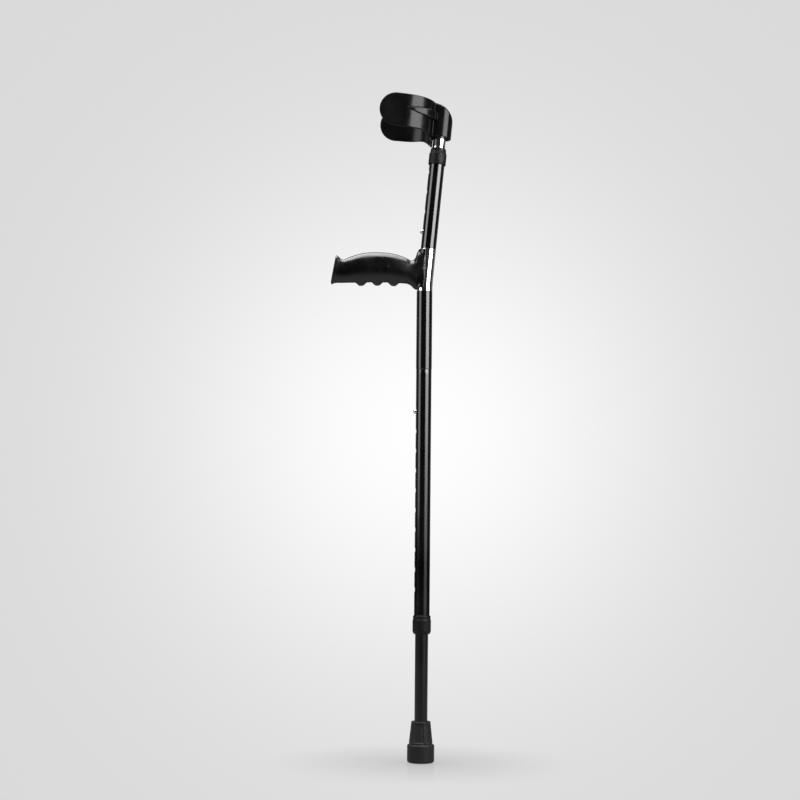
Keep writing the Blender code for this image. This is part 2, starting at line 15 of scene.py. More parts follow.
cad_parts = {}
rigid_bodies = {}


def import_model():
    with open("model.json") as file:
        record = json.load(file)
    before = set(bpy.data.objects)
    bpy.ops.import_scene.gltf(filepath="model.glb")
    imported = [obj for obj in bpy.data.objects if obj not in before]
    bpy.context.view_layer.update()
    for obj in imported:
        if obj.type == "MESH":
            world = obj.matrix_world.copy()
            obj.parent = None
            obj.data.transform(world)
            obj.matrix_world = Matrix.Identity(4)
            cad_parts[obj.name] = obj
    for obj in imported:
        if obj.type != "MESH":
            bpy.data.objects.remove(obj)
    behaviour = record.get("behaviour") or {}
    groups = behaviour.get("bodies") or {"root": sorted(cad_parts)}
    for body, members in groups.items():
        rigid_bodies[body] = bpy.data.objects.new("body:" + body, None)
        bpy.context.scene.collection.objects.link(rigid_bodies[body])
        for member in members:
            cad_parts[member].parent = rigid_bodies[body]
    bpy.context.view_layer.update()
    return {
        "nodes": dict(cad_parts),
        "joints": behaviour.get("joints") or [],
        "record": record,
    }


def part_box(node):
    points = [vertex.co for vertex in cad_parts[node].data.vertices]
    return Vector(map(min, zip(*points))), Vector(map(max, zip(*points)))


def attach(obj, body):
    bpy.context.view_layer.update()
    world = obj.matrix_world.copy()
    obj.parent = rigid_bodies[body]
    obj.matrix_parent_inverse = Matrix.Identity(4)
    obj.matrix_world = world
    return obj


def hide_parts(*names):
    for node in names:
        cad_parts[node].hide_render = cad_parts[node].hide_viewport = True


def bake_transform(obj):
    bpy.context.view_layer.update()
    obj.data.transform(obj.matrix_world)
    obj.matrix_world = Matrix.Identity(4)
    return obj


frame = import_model()

MM = 0.001
FRONT = pi  # the angle about a tube's axis that faces forwards, to -X
FULL_TURN = 2 * pi


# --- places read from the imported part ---


def joint(name):
    return next(j for j in frame["joints"] if j["name"] == name)


def cad_points(node, local=None):
    """A node's vertices in millimetres, in the row frame or in a local one."""
    points = np.array([v.co[:] for v in frame["nodes"][node].data.vertices])
    if local is not None:
        inverse = np.array(local.inverted())
        points = points @ inverse[:3, :3].T + inverse[:3, 3]
    return points / MM


def upper_frame():
    """The upper tube's frame: its Z axis runs up the tube, from the bend."""
    axis = Vector(joint("cuff_slide")["axis"]).normalized()
    point = Vector(joint("cuff_lock_turn")["pos_m"])
    bend = point - axis * (point.x / axis.x)
    lean = atan2(axis.x, axis.z)
    return Matrix.Translation(bend) @ Matrix.Rotation(lean, 4, "Y"), lean


UPPER, BEND_ANGLE = upper_frame()
LOWER = Matrix.Identity(4)
BEND_Z = UPPER.translation.z / MM


def span(node, local=None):
    heights = cad_points(node, local)[:, 2]
    return float(heights.min()), float(heights.max())


def centre_height(node, local=None):
    return sum(span(node, local)) / 2


def radii_of(points):
    return np.hypot(points[:, 0], points[:, 1])


def radius_of(node, local=None, low=-np.inf, high=np.inf):
    points = cad_points(node, local)
    points = points[(points[:, 2] >= low) & (points[:, 2] <= high)]
    return float(radii_of(points).max())


def bore_of(node, local=None):
    return float(radii_of(cad_points(node, local)).min())


def body_with(node):
    bodies = frame["record"]["behaviour"]["bodies"]
    return next(body for body, nodes in bodies.items() if node in nodes)


# --- mesh helpers ---


def as_mesh(name, points, faces, sharp):
    """A smooth mesh in metres, creased where faces meet at more than sharp degrees."""
    mesh = bpy.data.meshes.new(name)
    used = np.unique(np.concatenate([np.asarray(face) for face in faces]))
    order = np.full(len(points), -1)
    order[used] = np.arange(len(used))
    corners = [[int(order[i]) for i in face] for face in faces]
    mesh.from_pydata((points[used] * MM).tolist(), [], corners)
    bm = bmesh.new()
    bm.from_mesh(mesh)
    bmesh.ops.recalc_face_normals(bm, faces=bm.faces)
    bm.to_mesh(mesh)
    bm.free()
    mesh.shade_smooth()
    mesh.set_sharp_from_angle(angle=radians(sharp))
    return mesh


def piece(node, shape, finish, local=LOWER, sharp=38, between=None):
    """A finely meshed piece that stands for a CAD node and rides its body.

    shape is (points, faces) in millimetres. When between is given, the piece is left where it is built
    and rides no body; what between holds is not used.
    """
    name = f"{node}_finished"
    mesh = as_mesh(name, *shape, sharp)
    mesh.materials.append(FINISHES[finish])
    obj = bpy.data.objects.new(name, mesh)
    bpy.context.scene.collection.objects.link(obj)
    obj.matrix_world = local
    if between is None:
        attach(obj, body_with(node))
    else:
        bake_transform(obj)
    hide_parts(node)


def smooth(t):
    """Eases a value that runs from 0 to 1, at both its ends."""
    return t * t * (3 - 2 * t)


def eased(outline, radius, steps=3, closed=True):
    """The outline with its corners rounded over a length of up to radius on each side."""
    result = []
    count = len(outline)
    for i, corner in enumerate(outline):
        if not closed and i in (0, count - 1):
            result.append(corner)
            continue
        corner = np.array(corner, float)
        before = np.array(outline[i - 1], float) - corner
        after = np.array(outline[(i + 1) % count], float) - corner
        sides = np.linalg.norm(before), np.linalg.norm(after)
        trim = min(radius, 0.45 * sides[0], 0.45 * sides[1])
        start = corner + before / sides[0] * trim
        end = corner + after / sides[1] * trim
        for t in np.linspace(0, 1, steps + 1):
            point = (1 - t) ** 2 * start + 2 * t * (1 - t) * corner + t * t * end
            result.append(tuple(float(v) for v in point))
    return result


def lathe(outline, steps=96, swell=None):
    """A (radius, height) outline turned about Z. swell(angles, radius, height) adds to the radius."""
    on_axis = 1e-6
    angles = np.linspace(0, FULL_TURN, steps, endpoint=False)
    points, rows = [], []
    for radius, height in outline:
        first = len(points)
        if radius <= on_axis:
            points.append((0.0, 0.0, height))
            rows.append([first] * steps)
            continue
        radii = np.full(steps, float(radius))
        if swell is not None:
            radii = radii + swell(angles, radius, height)
        level = np.full(steps, float(height))
        points.extend(zip(radii * np.cos(angles), radii * np.sin(angles), level))
        rows.append(list(range(first, first + steps)))
    pairs = list(zip(rows, rows[1:]))
    if outline[0][0] > on_axis or outline[-1][0] > on_axis:
        pairs.append((rows[-1], rows[0]))
    faces = []
    for low, high in pairs:
        for i in range(steps):
            j = (i + 1) % steps
            corners = [low[i], low[j], high[j], high[i]]
            faces.append(list(dict.fromkeys(corners)))
    return np.array(points, float), [face for face in faces if len(face) > 2]


def levels_between(stops, step):
    """Sorted heights through every stop, with none further apart than step."""
    stops = sorted(set(round(s, 4) for s in stops))
    heights = [stops[0]]
    for low, high in zip(stops, stops[1:]):
        parts = max(1, int(np.ceil((high - low) / step)))
        heights.extend(low + (high - low) * (i + 1) / parts for i in range(parts))
    return np.array(heights)


ROW_STEP = 9.0
HOLE_RADIUS = 3.8
RIM_WIDTH, RIM_DROP = 0.35, 0.09
LIP_WIDTH = 0.1


def pierced_tube(outline, bore, holes, columns=96, reach=8):
    """A tube from a (height, radius) outline, with round holes through its front wall.

    Each hole sits in a square patch of the wall's grid, reach columns to each side.
    """
    heights, radii = (np.array(v, float) for v in zip(*outline))
    half_patch = radii.min() * FULL_TURN / columns * reach
    patch_rows = [hole + half_patch * k / reach for hole in holes for k in range(-reach, reach + 1)]
    levels = levels_between(list(heights) + patch_rows, ROW_STEP)
    middle = columns // 2
    angles = FRONT + (np.arange(columns) - middle) * FULL_TURN / columns
    skins, points = [], []
    for radius in (np.interp(levels, heights, radii), np.full(len(levels), bore)):
        skins.append(len(points))
        for height, r in zip(levels, radius):
            points.extend(zip(r * np.cos(angles), r * np.sin(angles), np.full(columns, height)))
    faces = []
    starts = {int(np.argmin(abs(levels - (hole - half_patch)))): hole for hole in holes}
    in_patch = {start + k for start in starts for k in range(2 * reach)}
    for skin in skins:
        for i in range(len(levels) - 1):
            for j in range(columns):
                if i in in_patch and middle - reach <= j < middle + reach:
                    continue
                k = (j + 1) % columns
                a, b = skin + i * columns, skin + (i + 1) * columns
                faces.append([a + j, a + k, b + k, b + j])
    for i in (0, len(levels) - 1):
        a, b = (skin + i * columns for skin in skins)
        for j in range(columns):
            k = (j + 1) % columns
            faces.append([a + j, a + k, b + k, b + j])
    for start, hole in starts.items():
        outer = np.interp(hole, heights, radii)
        faces.extend(hole_patch(points, skins, levels, bore, start, hole, columns, reach, outer))
    return np.array(points, float), faces


def hole_patch(points, skins, levels, bore, start, hole, columns, reach, outer):
    """Rings of faces from the wall's grid, over the rim, through the hole and to the bore's grid."""
    middle, size = columns // 2, 2 * reach
    border = [(middle - reach + k, start) for k in range(size)]
    border += [(middle + reach, start + k) for k in range(size)]
    border += [(middle + reach - k, start + size) for k in range(size)]
    border += [(middle - reach, start + size - k) for k in range(size)]
    arc = FULL_TURN / columns * outer
    offsets = np.array([((column - middle) * arc, levels[row] - hole) for column, row in border])
    turn = np.arctan2(offsets[:, 1], offsets[:, 0])

    def ring(radius, wall, spread=0.0):
        across = radius * np.cos(turn) * (1 - spread) + offsets[:, 0] * spread
        along = radius * np.sin(turn) * (1 - spread) + offsets[:, 1] * spread
        y = -across
        x = -np.sqrt(wall * wall - y * y)
        first = len(points)
        points.extend(zip(x, y, hole + along))
        return list(range(first, first + len(turn)))

    thickness = outer - bore
    wide, narrow = HOLE_RADIUS + RIM_WIDTH, HOLE_RADIUS + LIP_WIDTH
    rings = [[skins[0] + row * columns + column for column, row in border]]
    rings += [ring(wide, outer, 0.45), ring(wide, outer)]
    rings += [ring(narrow, outer - RIM_DROP), ring(HOLE_RADIUS, outer - 0.35 * thickness)]
    rings += [ring(HOLE_RADIUS, bore + LIP_WIDTH), ring(narrow, bore), ring(narrow, bore, 0.5)]
    rings.append([skins[1] + row * columns + column for column, row in border])
    count = len(border)
    faces = []
    for a, b in zip(rings, rings[1:]):
        faces.extend([a[i], a[(i + 1) % count], b[(i + 1) % count], b[i]] for i in range(count))
    return faces


# --- smooth solids from distance fields ---


def joined(a, b, radius):
    """The union of two fields, with a fillet of that radius where they meet."""
    corner = np.hypot(np.maximum(radius - a, 0), np.maximum(radius - b, 0))
    return np.maximum(radius, np.minimum(a, b)) - corner


def common(a, b, radius):
    """What two fields share, its edge rounded to that radius."""
    corner = np.hypot(np.maximum(radius + a, 0), np.maximum(radius + b, 0))
    return np.minimum(-radius, np.maximum(a, b)) + corner


def without(a, b, radius):
    return common(a, -b, radius)


def smooth_curve(knots):
    """A function for the smooth curve through (x, value) knots, flat outside them."""
    xs, values = (np.array(v, float) for v in zip(*knots))
    slopes = np.gradient(values, xs)
    fine_x, fine_v = [xs[0]], [values[0]]
    for i in range(len(xs) - 1):
        run = xs[i + 1] - xs[i]
        for t in np.linspace(0, 1, 13)[1:]:
            ease = t * (1 - t) ** 2 * slopes[i] + t * t * (t - 1) * slopes[i + 1]
            fine_x.append(xs[i] + run * t)
            fine_v.append(values[i] + (values[i + 1] - values[i]) * smooth(t) + ease * run)
    return lambda x: np.interp(x, fine_x, fine_v)


def solid_of(field, low, high, cell):
    """Points and faces of the surface where field(points) is zero, one point in each cell it crosses."""
    axes = [np.arange(a, b + cell, cell) for a, b in zip(low, high)]
    grid = np.stack(np.meshgrid(*axes, indexing="ij"), -1)
    values = field(grid.reshape(-1, 3)).reshape(grid.shape[:3])
    shape = tuple(n - 1 for n in values.shape)
    count = np.zeros(shape)
    total = np.zeros(shape + (3,))
    base = np.stack(np.meshgrid(*[np.arange(n) for n in shape], indexing="ij"), -1)
    crossings = []
    for axis in range(3):
        first = [slice(None)] * 3
        second = [slice(None)] * 3
        first[axis], second[axis] = slice(None, -1), slice(1, None)
        a, b = values[tuple(first)], values[tuple(second)]
        crossed = (a < 0) != (b < 0)
        with np.errstate(divide="ignore", invalid="ignore"):
            part = np.where(crossed, a / (a - b), 0.0)
        crossings.append(crossed)
        others = [i for i in range(3) if i != axis]
        for di in (0, 1):
            for dj in (0, 1):
                window = [slice(None)] * 3
                for other, shift in zip(others, (di, dj)):
                    window[other] = slice(shift, shape[other] + shift)
                hit = crossed[tuple(window)]
                count += hit
                total[..., axis] += (base[..., axis] + part[tuple(window)]) * hit
                for other, shift in zip(others, (di, dj)):
                    total[..., other] += (base[..., other] + shift) * hit
    active = count > 0
    number = np.full(shape, -1)
    number[active] = np.arange(active.sum())
    points = total[active] / count[active][:, None] * cell + np.array(low, float)
    faces = []
    for axis, crossed in enumerate(crossings):
        others = [i for i in range(3) if i != axis]
        where = np.argwhere(crossed)
        keep = np.all([(where[:, o] > 0) & (where[:, o] < shape[o]) for o in others], axis=0)
        where = where[keep]
        corners = []
        for di, dj in ((1, 1), (0, 1), (0, 0), (1, 0)):
            at = where.copy()
            at[:, others[0]] -= di
            at[:, others[1]] -= dj
            corners.append(number[at[:, 0], at[:, 1], at[:, 2]])
        faces.append(np.stack(corners, 1))
    return settle(field, points, cell), np.concatenate(faces).tolist()


def settle(field, points, cell, rounds=4, step=0.04):
    """Moves the points along the field's slope onto the surface, by half a cell in a round at most."""
    least_steepness, least_move = 0.05, 1e-9
    for _ in range(rounds):
        slope = np.zeros_like(points)
        for axis in range(3):
            shift = np.zeros(3)
            shift[axis] = step
            slope[:, axis] = (field(points + shift) - field(points - shift)) / (2 * step)
        steepness = np.maximum((slope**2).sum(1), least_steepness)
        move = -field(points)[:, None] * slope / steepness[:, None]
        length = np.maximum(np.linalg.norm(move, axis=1), least_move)
        points = points + move * np.minimum(1, 0.5 * cell / length)[:, None]
    return points


# --- finishes ---


def add_node(tree, kind, inputs=None, **settings):
    """A new shader node. Each input, by name or number, is linked to a socket or set to a value."""
    node = tree.nodes.new(kind)
    for key, value in settings.items():
        setattr(node, key, value)
    for key, value in (inputs or {}).items():
        if isinstance(value, bpy.types.NodeSocket):
            tree.links.new(value, node.inputs[key])
        else:
            node.inputs[key].default_value = value
    return node


def ranged(tree, source, low, high, start, end, kind="LINEAR"):
    """A value that runs from low to high as the source runs from start to end, and stays there."""
    inputs = {"Value": source, "From Min": start, "From Max": end, "To Min": low, "To Max": high}
    return add_node(tree, "ShaderNodeMapRange", inputs, interpolation_type=kind).outputs[0]


class Finish:
    """A procedural material: a Principled shader with noise that drives its colour, roughness and bump."""

    def __init__(self, name, roughness, **sockets):
        self.material = bpy.data.materials.new(name)
        self.material.use_nodes = True
        self.tree = self.material.node_tree
        self.shader = self.tree.nodes["Principled BSDF"]
        self.shader.inputs["Roughness"].default_value = roughness
        for socket, value in sockets.items():
            self.shader.inputs[socket.replace("_", " ")].default_value = value
        self.coords = self.add("ShaderNodeTexCoord").outputs["Object"]
        self.normal = None

    def add(self, kind, inputs=None, **settings):
        return add_node(self.tree, kind, inputs, **settings)

    def drive(self, socket, value):
        self.tree.links.new(value, self.shader.inputs[socket])
        return self

    def noise(self, size, stretch=(1, 1, 1), detail=4.0, rough=0.55):
        """Noise with features of about size millimetres, longer along an axis with a stretch above 1."""
        scale = [1 / (size * MM * s) for s in stretch]
        mapped = self.add("ShaderNodeMapping", {"Vector": self.coords, "Scale": scale})
        return self.add(
            "ShaderNodeTexNoise",
            {"Vector": mapped.outputs[0], "Scale": 1.0, "Detail": detail, "Roughness": rough},
        ).outputs["Fac"]

    def spread(self, source, low, high, start=0.35, end=0.65):
        """A value that runs from low to high as the source runs from start to end."""
        return ranged(self.tree, source, low, high, start, end)

    def times(self, a, b):
        return self.add("ShaderNodeMath", {0: a, 1: b}, operation="MULTIPLY").outputs[0]

    def higher(self, a, b):
        return self.add("ShaderNodeMath", {0: a, 1: b}, operation="MAXIMUM").outputs[0]

    def color(self, factor, dark, light):
        """A base colour between dark and light. Inputs 6 and 7 and output 2 are the node's colours."""
        inputs = {0: factor, 6: (*dark, 1), 7: (*light, 1)}
        return self.drive("Base Color", self.add("ShaderNodeMix", inputs, data_type="RGBA").outputs[2])

    def roughness(self, value):
        return self.drive("Roughness", value)

    def bump(self, height, depth, strength=1.0):
        """Adds relief of up to depth millimetres. Later calls lie on top of earlier ones."""
        inputs = {"Height": height, "Distance": depth * MM, "Strength": strength}
        if self.normal is not None:
            inputs["Normal"] = self.normal
        self.normal = self.add("ShaderNodeBump", inputs).outputs[0]
        return self.drive("Normal", self.normal)

    def edges(self, low=0.505, high=0.56):
        """A value that rises towards 1 on sharp outer edges."""
        geometry = self.add("ShaderNodeNewGeometry")
        return self.spread(geometry.outputs["Pointiness"], 0.0, 1.0, low, high)

    def along(self, axis, low, high):
        """A value that rises as the position along an axis goes from low to high, in metres."""
        split = self.add("ShaderNodeSeparateXYZ", {0: self.coords})
        return self.spread(split.outputs[axis], 0.0, 1.0, low, high)


def anodised(name, roughness, dark, light, rough, line, mark, mark_run, depth, **sockets):
    """Anodised aluminium: fine draw lines along the tube, and faint handling marks."""
    f = Finish(name, roughness, **sockets)
    lines = f.noise(line, (1, 1, 160), 3.0)
    marks = f.noise(mark, (1, 1, mark_run), 5.0)
    f.color(f.spread(marks, 0, 1), dark, light)
    f.roughness(f.spread(marks, *rough))
    return f.bump(lines, depth, 0.3).material


def polished_alloy():
    """Polished aluminium: bright, with hairline polishing marks round the tube."""
    f = Finish("polished_alloy", 0.1, Metallic=1.0)
    hairs = f.noise(0.3, (6, 6, 0.5), 4.0)
    cloud = f.noise(18, (1, 1, 1), 4.0)
    f.color(f.spread(cloud, 0, 1), (0.80, 0.80, 0.81), (0.93, 0.93, 0.94))
    f.roughness(f.spread(hairs, 0.07, 0.17))
    return f.bump(hairs, 0.002, 0.2).material


def moulded(name, dark, light, rough, size, depth, gloss=0.5):
    """Moulded plastic: grain of that size, uneven gloss, and edges rubbed slightly paler and duller."""
    wear, edge_roughness = 0.006, 0.6
    f = Finish(name, sum(rough) / 2, Specular_IOR_Level=gloss)
    cloud = f.noise(22, detail=5.0)
    grain = f.noise(size, detail=3.0, rough=0.6)
    rubbed = f.times(f.edges(), f.spread(f.noise(5), 0.1, 1.0))
    blend = f.higher(f.spread(cloud, 0, 0.6), rubbed)
    f.color(blend, dark, tuple(v + wear for v in light))
    f.roughness(f.higher(f.spread(cloud, *rough), f.times(f.edges(), edge_roughness)))
    return f.bump(grain, depth, 0.3).material


def tip_rubber():
    """Moulded rubber: matte, mottled, dusty and scuffed towards the floor."""
    f = Finish("tip_rubber", 0.7, Specular_IOR_Level=0.4, Sheen_Weight=0.05, Sheen_Roughness=0.5)
    mottle = f.noise(3.5, detail=6.0, rough=0.65)
    specks = f.spread(f.noise(2.2, (1, 1, 0.5), 6.0), 0.0, 1.0, 0.42, 0.7)
    dust = f.times(f.along(2, 0.022, 0.001), specks)
    blend = f.higher(f.spread(mottle, 0, 0.35), dust)
    f.color(blend, (0.003, 0.003, 0.0032), (0.0135, 0.013, 0.0125))
    f.roughness(f.spread(mottle, 0.5, 0.7))
    return f.bump(f.noise(0.45, detail=4.0), 0.06, 0.55).bump(mottle, 0.05, 0.4).material


def plain_metal(name, dark, light, rough, size):
    """Unpolished metal: cloudy patches of that size, and fine scratches round the piece."""
    f = Finish(name, sum(rough) / 2, Metallic=1.0)
    cloud = f.noise(size, detail=5.0)
    f.color(f.spread(cloud, 0, 1), dark, light)
    f.roughness(f.spread(f.noise(size * 0.4), *rough))
    return f.bump(f.noise(0.25, (3, 3, 0.6)), 0.008, 0.4).material


FINISHES = {
    "black_tube": anodised(
        "black_anodised_tube", 0.16, (0.0026, 0.0026, 0.003), (0.006, 0.006, 0.0066), rough=(0.12, 0.21),
        line=0.35, mark=26, mark_run=2.5, depth=0.004, IOR=1.6, Coat_Weight=0.35, Coat_Roughness=0.06,
    ),
    "satin_tube": anodised(
        "satin_anodised_tube", 0.27, (0.003, 0.003, 0.0033), (0.0065, 0.0065, 0.007), rough=(0.22, 0.32),
        line=0.4, mark=18, mark_run=3, depth=0.005, IOR=1.46,
    ),
    "polished_alloy": polished_alloy(),
    "cuff_plastic": moulded(
        "cuff_plastic", (0.0112, 0.0112, 0.0116), (0.0145, 0.0145, 0.015),
        rough=(0.17, 0.25), size=0.5, depth=0.008, gloss=0.24,
    ),
    "grip_plastic": moulded(
        "grip_plastic", (0.0052, 0.0052, 0.0064), (0.0078, 0.0078, 0.0096),
        rough=(0.22, 0.32), size=0.35, depth=0.012,
    ),
    "nut_plastic": moulded(
        "nut_plastic", (0.0045, 0.0045, 0.0048), (0.009, 0.009, 0.0093),
        rough=(0.36, 0.5), size=0.4, depth=0.05, gloss=0.22,
    ),
    "bush_nylon": moulded(
        "bush_nylon", (0.03, 0.03, 0.03), (0.05, 0.05, 0.05), rough=(0.4, 0.55), size=0.6, depth=0.02
    ),
    "tip_rubber": tip_rubber(),
    "plated_steel": plain_metal(
        "zinc_plated_steel", (0.55, 0.55, 0.53), (0.75, 0.75, 0.74), rough=(0.15, 0.32), size=3.0
    ),
    "dull_steel": plain_metal(
        "dull_steel", (0.10, 0.10, 0.10), (0.17, 0.17, 0.165), rough=(0.42, 0.52), size=1.0
    ),
    "spring_steel": plain_metal(
        "spring_steel", (0.26, 0.26, 0.28), (0.42, 0.42, 0.44), rough=(0.22, 0.38), size=4.0
    ),
}


# --- tubes, bracket and turned pieces ---


def hole_heights(button, slide, count, step, local):
    """Heights of a row of holes: the button's own, and one for each stop of its slide."""
    first = centre_height(button, local)
    pitch = joint(slide)["range_m"][1] / MM / (count - 1)
    return [first + pitch * i * step for i in range(count)]


LEG_HOLES = hole_heights("leg_button", "leg_slide", 10, -1, LOWER)
CUFF_HOLES = hole_heights("cuff_button", "cuff_slide", 4, 1, UPPER)
EDGE = 0.35


def tube_outline(node, local, steps=()):
    """(height, radius) points of a tube's outside, chamfered at its ends and stepped between them."""
    low, high = span(node, local)
    foot = radius_of(node, local, low, low + 1)
    head = radius_of(node, local, high - 1, high)
    return [(low, foot - EDGE), (low + EDGE, foot), *steps, (high - EDGE, head), (high, head - EDGE)]


def build_tubes():
    points = cad_points("lower_outer_tube")
    wide = radius_of("lower_outer_tube")
    seam = float(points[radii_of(points) > wide - 0.01][:, 2].min())
    narrow = radius_of("lower_outer_tube", LOWER, 0, seam - 5)
    groove = [(seam - 0.9, narrow), (seam - 0.6, narrow - 0.18), (seam - 0.35, narrow - 0.1), (seam, wide)]
    rows = [
        ("lower_outer_tube", LOWER, groove, LEG_HOLES, "black_tube"),
        ("upper_outer_tube", UPPER, (), CUFF_HOLES, "black_tube"),
        ("leg_tube", LOWER, (), LEG_HOLES[:1], "satin_tube"),
        ("cuff_tube", UPPER, (), CUFF_HOLES[:1], "polished_alloy"),
    ]
    for node, local, steps, holes, finish in rows:
        outline = tube_outline(node, local, steps)
        piece(node, pierced_tube(outline, bore_of(node, local), holes), finish, local)


BEND_EASE = 14.0


def along_bend(distance):
    """A frame on the bent axis, at a distance in millimetres from the bend. An arc eases the corner."""
    share = min(max((distance + BEND_EASE) / (2 * BEND_EASE), 0.0), 1.0)
    corner, upward = Vector((0, 0, BEND_Z)), Vector((sin(BEND_ANGLE), 0, cos(BEND_ANGLE)))
    if distance <= -BEND_EASE:
        place = Vector((0, 0, BEND_Z + distance))
    elif distance >= BEND_EASE:
        place = corner + upward * distance
    else:
        # A quadratic curve between the two straight runs
        start, end = Vector((0, 0, BEND_Z - BEND_EASE)), corner + upward * BEND_EASE
        place = (1 - share) ** 2 * start + 2 * share * (1 - share) * corner + share * share * end
    return Matrix.Translation(place) @ Matrix.Rotation(BEND_ANGLE * share, 4, "Y")


def bent_tube(stations, columns=96):
    """A closed skin along the bend, through (distance, radius) stations up its outside and down inside."""
    points, rows = [], []
    angles = np.linspace(0, FULL_TURN, columns, endpoint=False)
    for distance, radius in stations:
        frame_here = along_bend(distance)
        rows.append(len(points))
        for angle in angles:
            points.append(tuple(frame_here @ Vector((radius * cos(angle), radius * sin(angle), 0))))
    faces = []
    for low, high in zip(rows, rows[1:] + rows[:1]):
        for i in range(columns):
            j = (i + 1) % columns
            faces.append([low + i, low + j, high + j, high + i])
    return np.array(points), faces


def build_bracket():
    gap, chamfer, spigot_chamfer = 0.3, 0.25, 0.5
    points = cad_points("handle_bracket")
    low, high = float(points[:, 2].min()), span("handle_bracket", UPPER)[1]
    straight = radii_of(points[points[:, 2] < BEND_Z - 1])
    outer, bore = float(straight.max()), float(straight.min())
    spigot = float(radii_of(points[points[:, 2] < low + 1]).max())
    low -= BEND_Z
    foot = span("lower_outer_tube")[1] + gap - BEND_Z
    head = span("upper_outer_tube", UPPER)[0] - gap
    bend = [float(d) for d in np.linspace(-BEND_EASE, BEND_EASE, 15)]
    outside = [
        (low, spigot - spigot_chamfer), (low + spigot_chamfer, spigot), (foot, spigot),
        (foot, outer - chamfer), (foot + chamfer, outer),
        *[(d, outer) for d in bend if d > foot + 1],
        (head - chamfer, outer), (head, outer - chamfer),
        (head, spigot), (high - spigot_chamfer, spigot), (high, spigot - spigot_chamfer),
    ]
    inside = [(high, bore), *[(d, bore) for d in reversed(bend)], (low, bore)]
    piece("handle_bracket", bent_tube(outside + inside), "polished_alloy")


TIP_RIBS, FIRST_RIB, RIB_HALF, RIB_FLANK = 6, radians(-70.3), 0.9, 0.7
PANEL_LOW, PANEL_HIGH, PANEL_DEPTH = 27.2, 54.6, 1.5
NECK_LEAST_R = 11


def ribs_of_tip(angles, radius, height):
    """Six ribs stand between shallow panels in the tip's neck."""
    if not PANEL_LOW < height < PANEL_HIGH or radius < NECK_LEAST_R:
        return 0.0
    period = FULL_TURN / TIP_RIBS
    away = np.abs((angles - FIRST_RIB + period / 2) % period - period / 2) * radius
    across = np.clip((away - RIB_HALF) / RIB_FLANK, 0, 1)
    along = min(1.0, (height - PANEL_LOW) / 1.0, (PANEL_HIGH - height) / 1.4)
    return -PANEL_DEPTH * smooth(across) * max(along, 0.0)


def flutes(low, high, count=48, depth=0.14, least=12.5, run_out=1.2):
    """Rounded grooves round a nut's grip band, where its radius is least or more."""

    def swell(angles, radius, height):
        if not low <= height <= high or radius < least:
            return 0.0
        fade = min(1.0, (height - low) / run_out, (high - height) / run_out)
        return -depth * fade * (0.5 + 0.5 * np.cos(count * angles)) ** 2

    return swell


def with_rows(outline, step, least):
    """The outline with extra points on its long outer runs."""
    result = [outline[0]]
    for (r0, z0), (r1, z1) in zip(outline, outline[1:]):
        parts = max(1, int(abs(z1 - z0) / step)) if min(r0, r1) > least else 1
        for i in range(1, parts + 1):
            result.append((r0 + (r1 - r0) * i / parts, z0 + (z1 - z0) * i / parts))
    return result


def build_tip():
    neck = [
        (0.0, 12.0), (9.4, 12.0), (9.4, 57.0), (12.7, 57.0), (13.6, 56.6), (13.65, 54.8), (16.0, 33.0),
        (16.7, 27.4), (16.3, 26.6), (16.3, 25.4),
    ]
    base = [
        (18.3, 24.8), (19.0, 23.6), (19.0, 3.4), (18.6, 1.2), (16.8, 0.0), (13.4, 0.0), (13.0, 1.4),
        (9.4, 1.4), (9.0, 0.0), (0.0, 0.0),
    ]
    outline = with_rows(eased(neck + base, 0.7, closed=False), 0.45, 12.0)
    piece("rubber_tip", lathe(outline, 240, ribs_of_tip), "tip_rubber", sharp=50)


def build_nuts():
    leg = [
        (11.5, 204.0), (12.2, 203.6), (12.4, 202.6), (12.4, 199.6), (12.1, 199.0), (12.5, 198.4),
        (13.0, 197.4), (13.0, 182.6), (12.2, 179.4), (11.0, 178.0), (9.5, 178.0), (9.5, 180.2),
        (11.3, 180.2), (12.25, 182.6), (12.25, 199.4), (11.4, 199.4), (11.4, 204.0),
    ]
    cuff = [
        (10.2, 200.5), (10.8, 200.0), (11.3, 196.0), (12.0, 193.4), (12.6, 191.6), (12.6, 180.6),
        (12.3, 179.9), (12.6, 179.2), (12.6, 177.6), (12.2, 176.4), (11.4, 176.2), (11.4, 181.1),
        (12.0, 181.1), (12.0, 191.7), (10.45, 191.7), (10.45, 198.4), (9.5, 198.4), (9.5, 200.5),
    ]
    for node, outline, band, local in (
        ("leg_lock_nut", leg, (183.5, 197.0), LOWER),
        ("cuff_lock_nut", cuff, (181.6, 191.0), UPPER),
    ):
        fine = with_rows(eased(outline, 0.35, 2), 0.5, 12.3)
        piece(node, lathe(fine, 288, flutes(*band)), "nut_plastic", local, 50)


def facing(x, height, turn, axis="Y"):
    """A frame at (x, 0, height) in millimetres, turned about an axis."""
    return Matrix.Translation((x * MM, 0, height * MM)) @ Matrix.Rotation(turn, 4, axis)


def build_buttons():
    radius, tip, foot, flange, flange_r = 3.4, 14.6, 5.2, 0.9, 4.9
    nose = [(radius * sin(a), tip - radius + radius * cos(a)) for a in np.linspace(0, pi / 2, 13)]
    top = foot + flange
    outline = [*nose, (radius, top), (flange_r, top), (flange_r, foot), (0.0, foot)]
    for node, holes, local in (("leg_button", LEG_HOLES, LOWER), ("cuff_button", CUFF_HOLES, UPPER)):
        piece(node, lathe(outline, 48), "plated_steel", local @ facing(0, holes[0], -pi / 2))


SPRING_THICK, SPRING_WIDTH, FOLD_R = 0.6, 5.0, 2.2
FRONT_LEAF_X, FOLD_X, BACK_LEAF_X = -4.6, 3.4, 6.9
FRONT_LEAF_HALF, BACK_LEAF_RUN = 4, (12, 4)
STILL_X, MOVED_X = 6.6, -3.6


